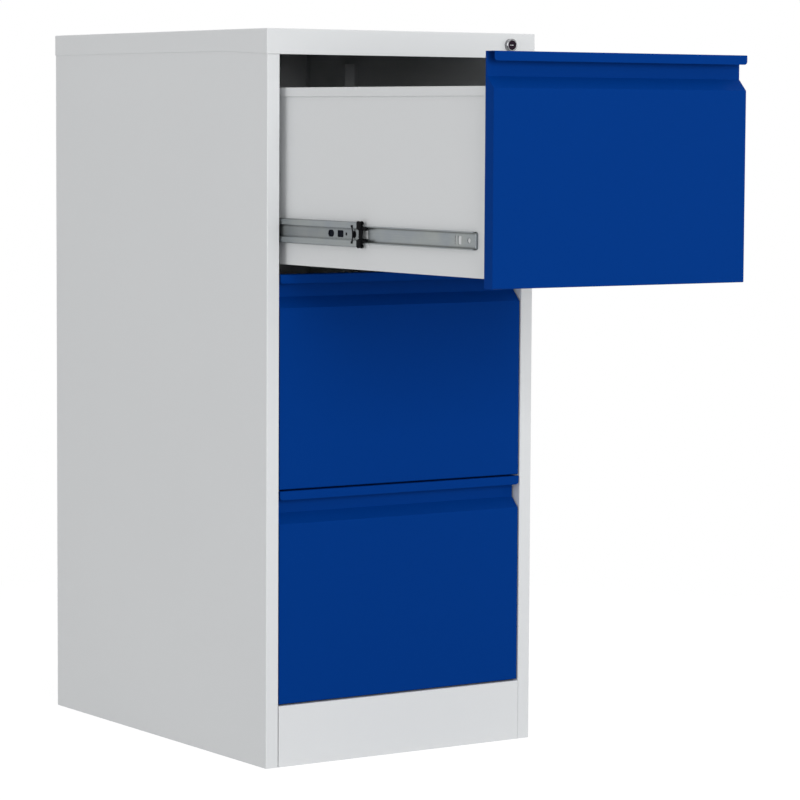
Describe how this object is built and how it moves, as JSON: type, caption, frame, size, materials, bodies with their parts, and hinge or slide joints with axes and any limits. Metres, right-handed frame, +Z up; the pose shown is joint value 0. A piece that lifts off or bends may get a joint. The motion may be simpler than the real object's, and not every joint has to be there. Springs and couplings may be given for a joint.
{
  "type": "vertical filing cabinet",
  "caption": "Tall steel filing cabinet with lipped drawer fronts, full-extension slides and a gang lock; top drawer pulled out.",
  "frame": {"origin": "middle of the cabinet's footprint, on the floor", "axes": "+Z up, +X to the right seen from the front, +Y to the back; drawers pull out along -Y"},
  "size_m": [0.46, 1.13, 1.04],
  "materials": {
    "cabinet_paint": "light grey powder coat, fine orange peel, satin",
    "drawer_front_paint": "deep blue powder coat, fine orange peel, satin",
    "zinc_plated_steel": "zinc plated, rolled",
    "bearing_steel": "polished, oiled",
    "black_moulding": "moulded, fine grain",
    "lock_chrome": "polished",
    "lock_core": "satin"
  },
  "bodies": {
    "cabinet": {"left_side_panel": "cabinet_paint", "right_side_panel": "cabinet_paint", "back_panel": "cabinet_paint", "top_panel": "cabinet_paint", "bottom_panel": "cabinet_paint", "kick_plate": "cabinet_paint", "front_uprights": "cabinet_paint", "rear_uprights": "cabinet_paint", "lock_housing": "lock_chrome", "lock_nut": "zinc_plated_steel", "lock_bar_guides": "zinc_plated_steel", "slide_1_left_cabinet_member": "zinc_plated_steel", "slide_1_right_cabinet_member": "zinc_plated_steel", "slide_2_left_cabinet_member": "zinc_plated_steel", "slide_2_right_cabinet_member": "zinc_plated_steel", "slide_3_left_cabinet_member": "zinc_plated_steel", "slide_3_right_cabinet_member": "zinc_plated_steel"},
    "lock_cylinder": {"lock_plug": "lock_core", "lock_cam": "zinc_plated_steel"},
    "lock_bar": {"lock_bar": "zinc_plated_steel"},
    "drawer_1": {"drawer_1_front_outer": "drawer_front_paint", "drawer_1_front_inner": "cabinet_paint", "drawer_1_left_side": "cabinet_paint", "drawer_1_right_side": "cabinet_paint", "drawer_1_bottom": "cabinet_paint", "drawer_1_back": "cabinet_paint", "slide_1_left_drawer_member": "zinc_plated_steel", "slide_1_right_drawer_member": "zinc_plated_steel"},
    "slide_1_middle": {"slide_1_left_middle_member": "zinc_plated_steel", "slide_1_right_middle_member": "zinc_plated_steel", "slide_1_end_retainers": "black_moulding"},
    "slide_1_outer_cages": {"slide_1_outer_ball_cages": "bearing_steel"},
    "slide_1_inner_cages": {"slide_1_inner_ball_cages": "bearing_steel"},
    "drawer_2": {"drawer_2_front_outer": "drawer_front_paint", "drawer_2_front_inner": "cabinet_paint", "drawer_2_left_side": "cabinet_paint", "drawer_2_right_side": "cabinet_paint", "drawer_2_bottom": "cabinet_paint", "drawer_2_back": "cabinet_paint", "slide_2_left_drawer_member": "zinc_plated_steel", "slide_2_right_drawer_member": "zinc_plated_steel"},
    "slide_2_middle": {"slide_2_left_middle_member": "zinc_plated_steel", "slide_2_right_middle_member": "zinc_plated_steel", "slide_2_end_retainers": "black_moulding"},
    "slide_2_outer_cages": {"slide_2_outer_ball_cages": "bearing_steel"},
    "slide_2_inner_cages": {"slide_2_inner_ball_cages": "bearing_steel"},
    "drawer_3": {"drawer_3_front_outer": "drawer_front_paint", "drawer_3_front_inner": "cabinet_paint", "drawer_3_left_side": "cabinet_paint", "drawer_3_right_side": "cabinet_paint", "drawer_3_bottom": "cabinet_paint", "drawer_3_back": "cabinet_paint", "slide_3_left_drawer_member": "zinc_plated_steel", "slide_3_right_drawer_member": "zinc_plated_steel"},
    "slide_3_middle": {"slide_3_left_middle_member": "zinc_plated_steel", "slide_3_right_middle_member": "zinc_plated_steel", "slide_3_end_retainers": "black_moulding"},
    "slide_3_outer_cages": {"slide_3_outer_ball_cages": "bearing_steel"},
    "slide_3_inner_cages": {"slide_3_inner_ball_cages": "bearing_steel"}
  },
  "joints": [
    {"name": "drawer_1_slide", "type": "slide", "parent": "cabinet", "child": "drawer_1", "axis": [0, -1, 0], "range_m": [-0.51, 0]},
    {"name": "slide_1_middle_travel", "type": "slide", "parent": "cabinet", "child": "slide_1_middle", "axis": [0, -1, 0], "range_m": [-0.255, 0]},
    {"name": "slide_1_outer_cages_travel", "type": "slide", "parent": "cabinet", "child": "slide_1_outer_cages", "axis": [0, -1, 0], "range_m": [-0.1275, 0]},
    {"name": "slide_1_inner_cages_travel", "type": "slide", "parent": "cabinet", "child": "slide_1_inner_cages", "axis": [0, -1, 0], "range_m": [-0.3825, 0]},
    {"name": "drawer_2_slide", "type": "slide", "parent": "cabinet", "child": "drawer_2", "axis": [0, -1, 0], "range_m": [0, 0.51]},
    {"name": "slide_2_middle_travel", "type": "slide", "parent": "cabinet", "child": "slide_2_middle", "axis": [0, -1, 0], "range_m": [0, 0.255]},
    {"name": "slide_2_outer_cages_travel", "type": "slide", "parent": "cabinet", "child": "slide_2_outer_cages", "axis": [0, -1, 0], "range_m": [0, 0.1275]},
    {"name": "slide_2_inner_cages_travel", "type": "slide", "parent": "cabinet", "child": "slide_2_inner_cages", "axis": [0, -1, 0], "range_m": [0, 0.3825]},
    {"name": "drawer_3_slide", "type": "slide", "parent": "cabinet", "child": "drawer_3", "axis": [0, -1, 0], "range_m": [0, 0.51]},
    {"name": "slide_3_middle_travel", "type": "slide", "parent": "cabinet", "child": "slide_3_middle", "axis": [0, -1, 0], "range_m": [0, 0.255]},
    {"name": "slide_3_outer_cages_travel", "type": "slide", "parent": "cabinet", "child": "slide_3_outer_cages", "axis": [0, -1, 0], "range_m": [0, 0.1275]},
    {"name": "slide_3_inner_cages_travel", "type": "slide", "parent": "cabinet", "child": "slide_3_inner_cages", "axis": [0, -1, 0], "range_m": [0, 0.3825]},
    {"name": "lock_turn", "type": "hinge", "parent": "cabinet", "child": "lock_cylinder", "pos_m": [0.185, -0.31, 1.023], "axis": [0, -1, 0], "range_deg": [0, 90]},
    {"name": "lock_bar_lift", "type": "slide", "parent": "cabinet", "child": "lock_bar", "axis": [0, 0, 1], "range_m": [0, 0.01]}
  ],
  "couplings": [
    {"joint": "slide_1_middle_travel", "follows": "drawer_1_slide", "ratio": 0.5},
    {"joint": "slide_1_outer_cages_travel", "follows": "drawer_1_slide", "ratio": 0.25},
    {"joint": "slide_1_inner_cages_travel", "follows": "drawer_1_slide", "ratio": 0.75},
    {"joint": "slide_2_middle_travel", "follows": "drawer_2_slide", "ratio": 0.5},
    {"joint": "slide_2_outer_cages_travel", "follows": "drawer_2_slide", "ratio": 0.25},
    {"joint": "slide_2_inner_cages_travel", "follows": "drawer_2_slide", "ratio": 0.75},
    {"joint": "slide_3_middle_travel", "follows": "drawer_3_slide", "ratio": 0.5},
    {"joint": "slide_3_outer_cages_travel", "follows": "drawer_3_slide", "ratio": 0.25},
    {"joint": "slide_3_inner_cages_travel", "follows": "drawer_3_slide", "ratio": 0.75},
    {"joint": "lock_turn", "follows": "lock_bar_lift", "rad_per_m": 157.08}
  ]
}
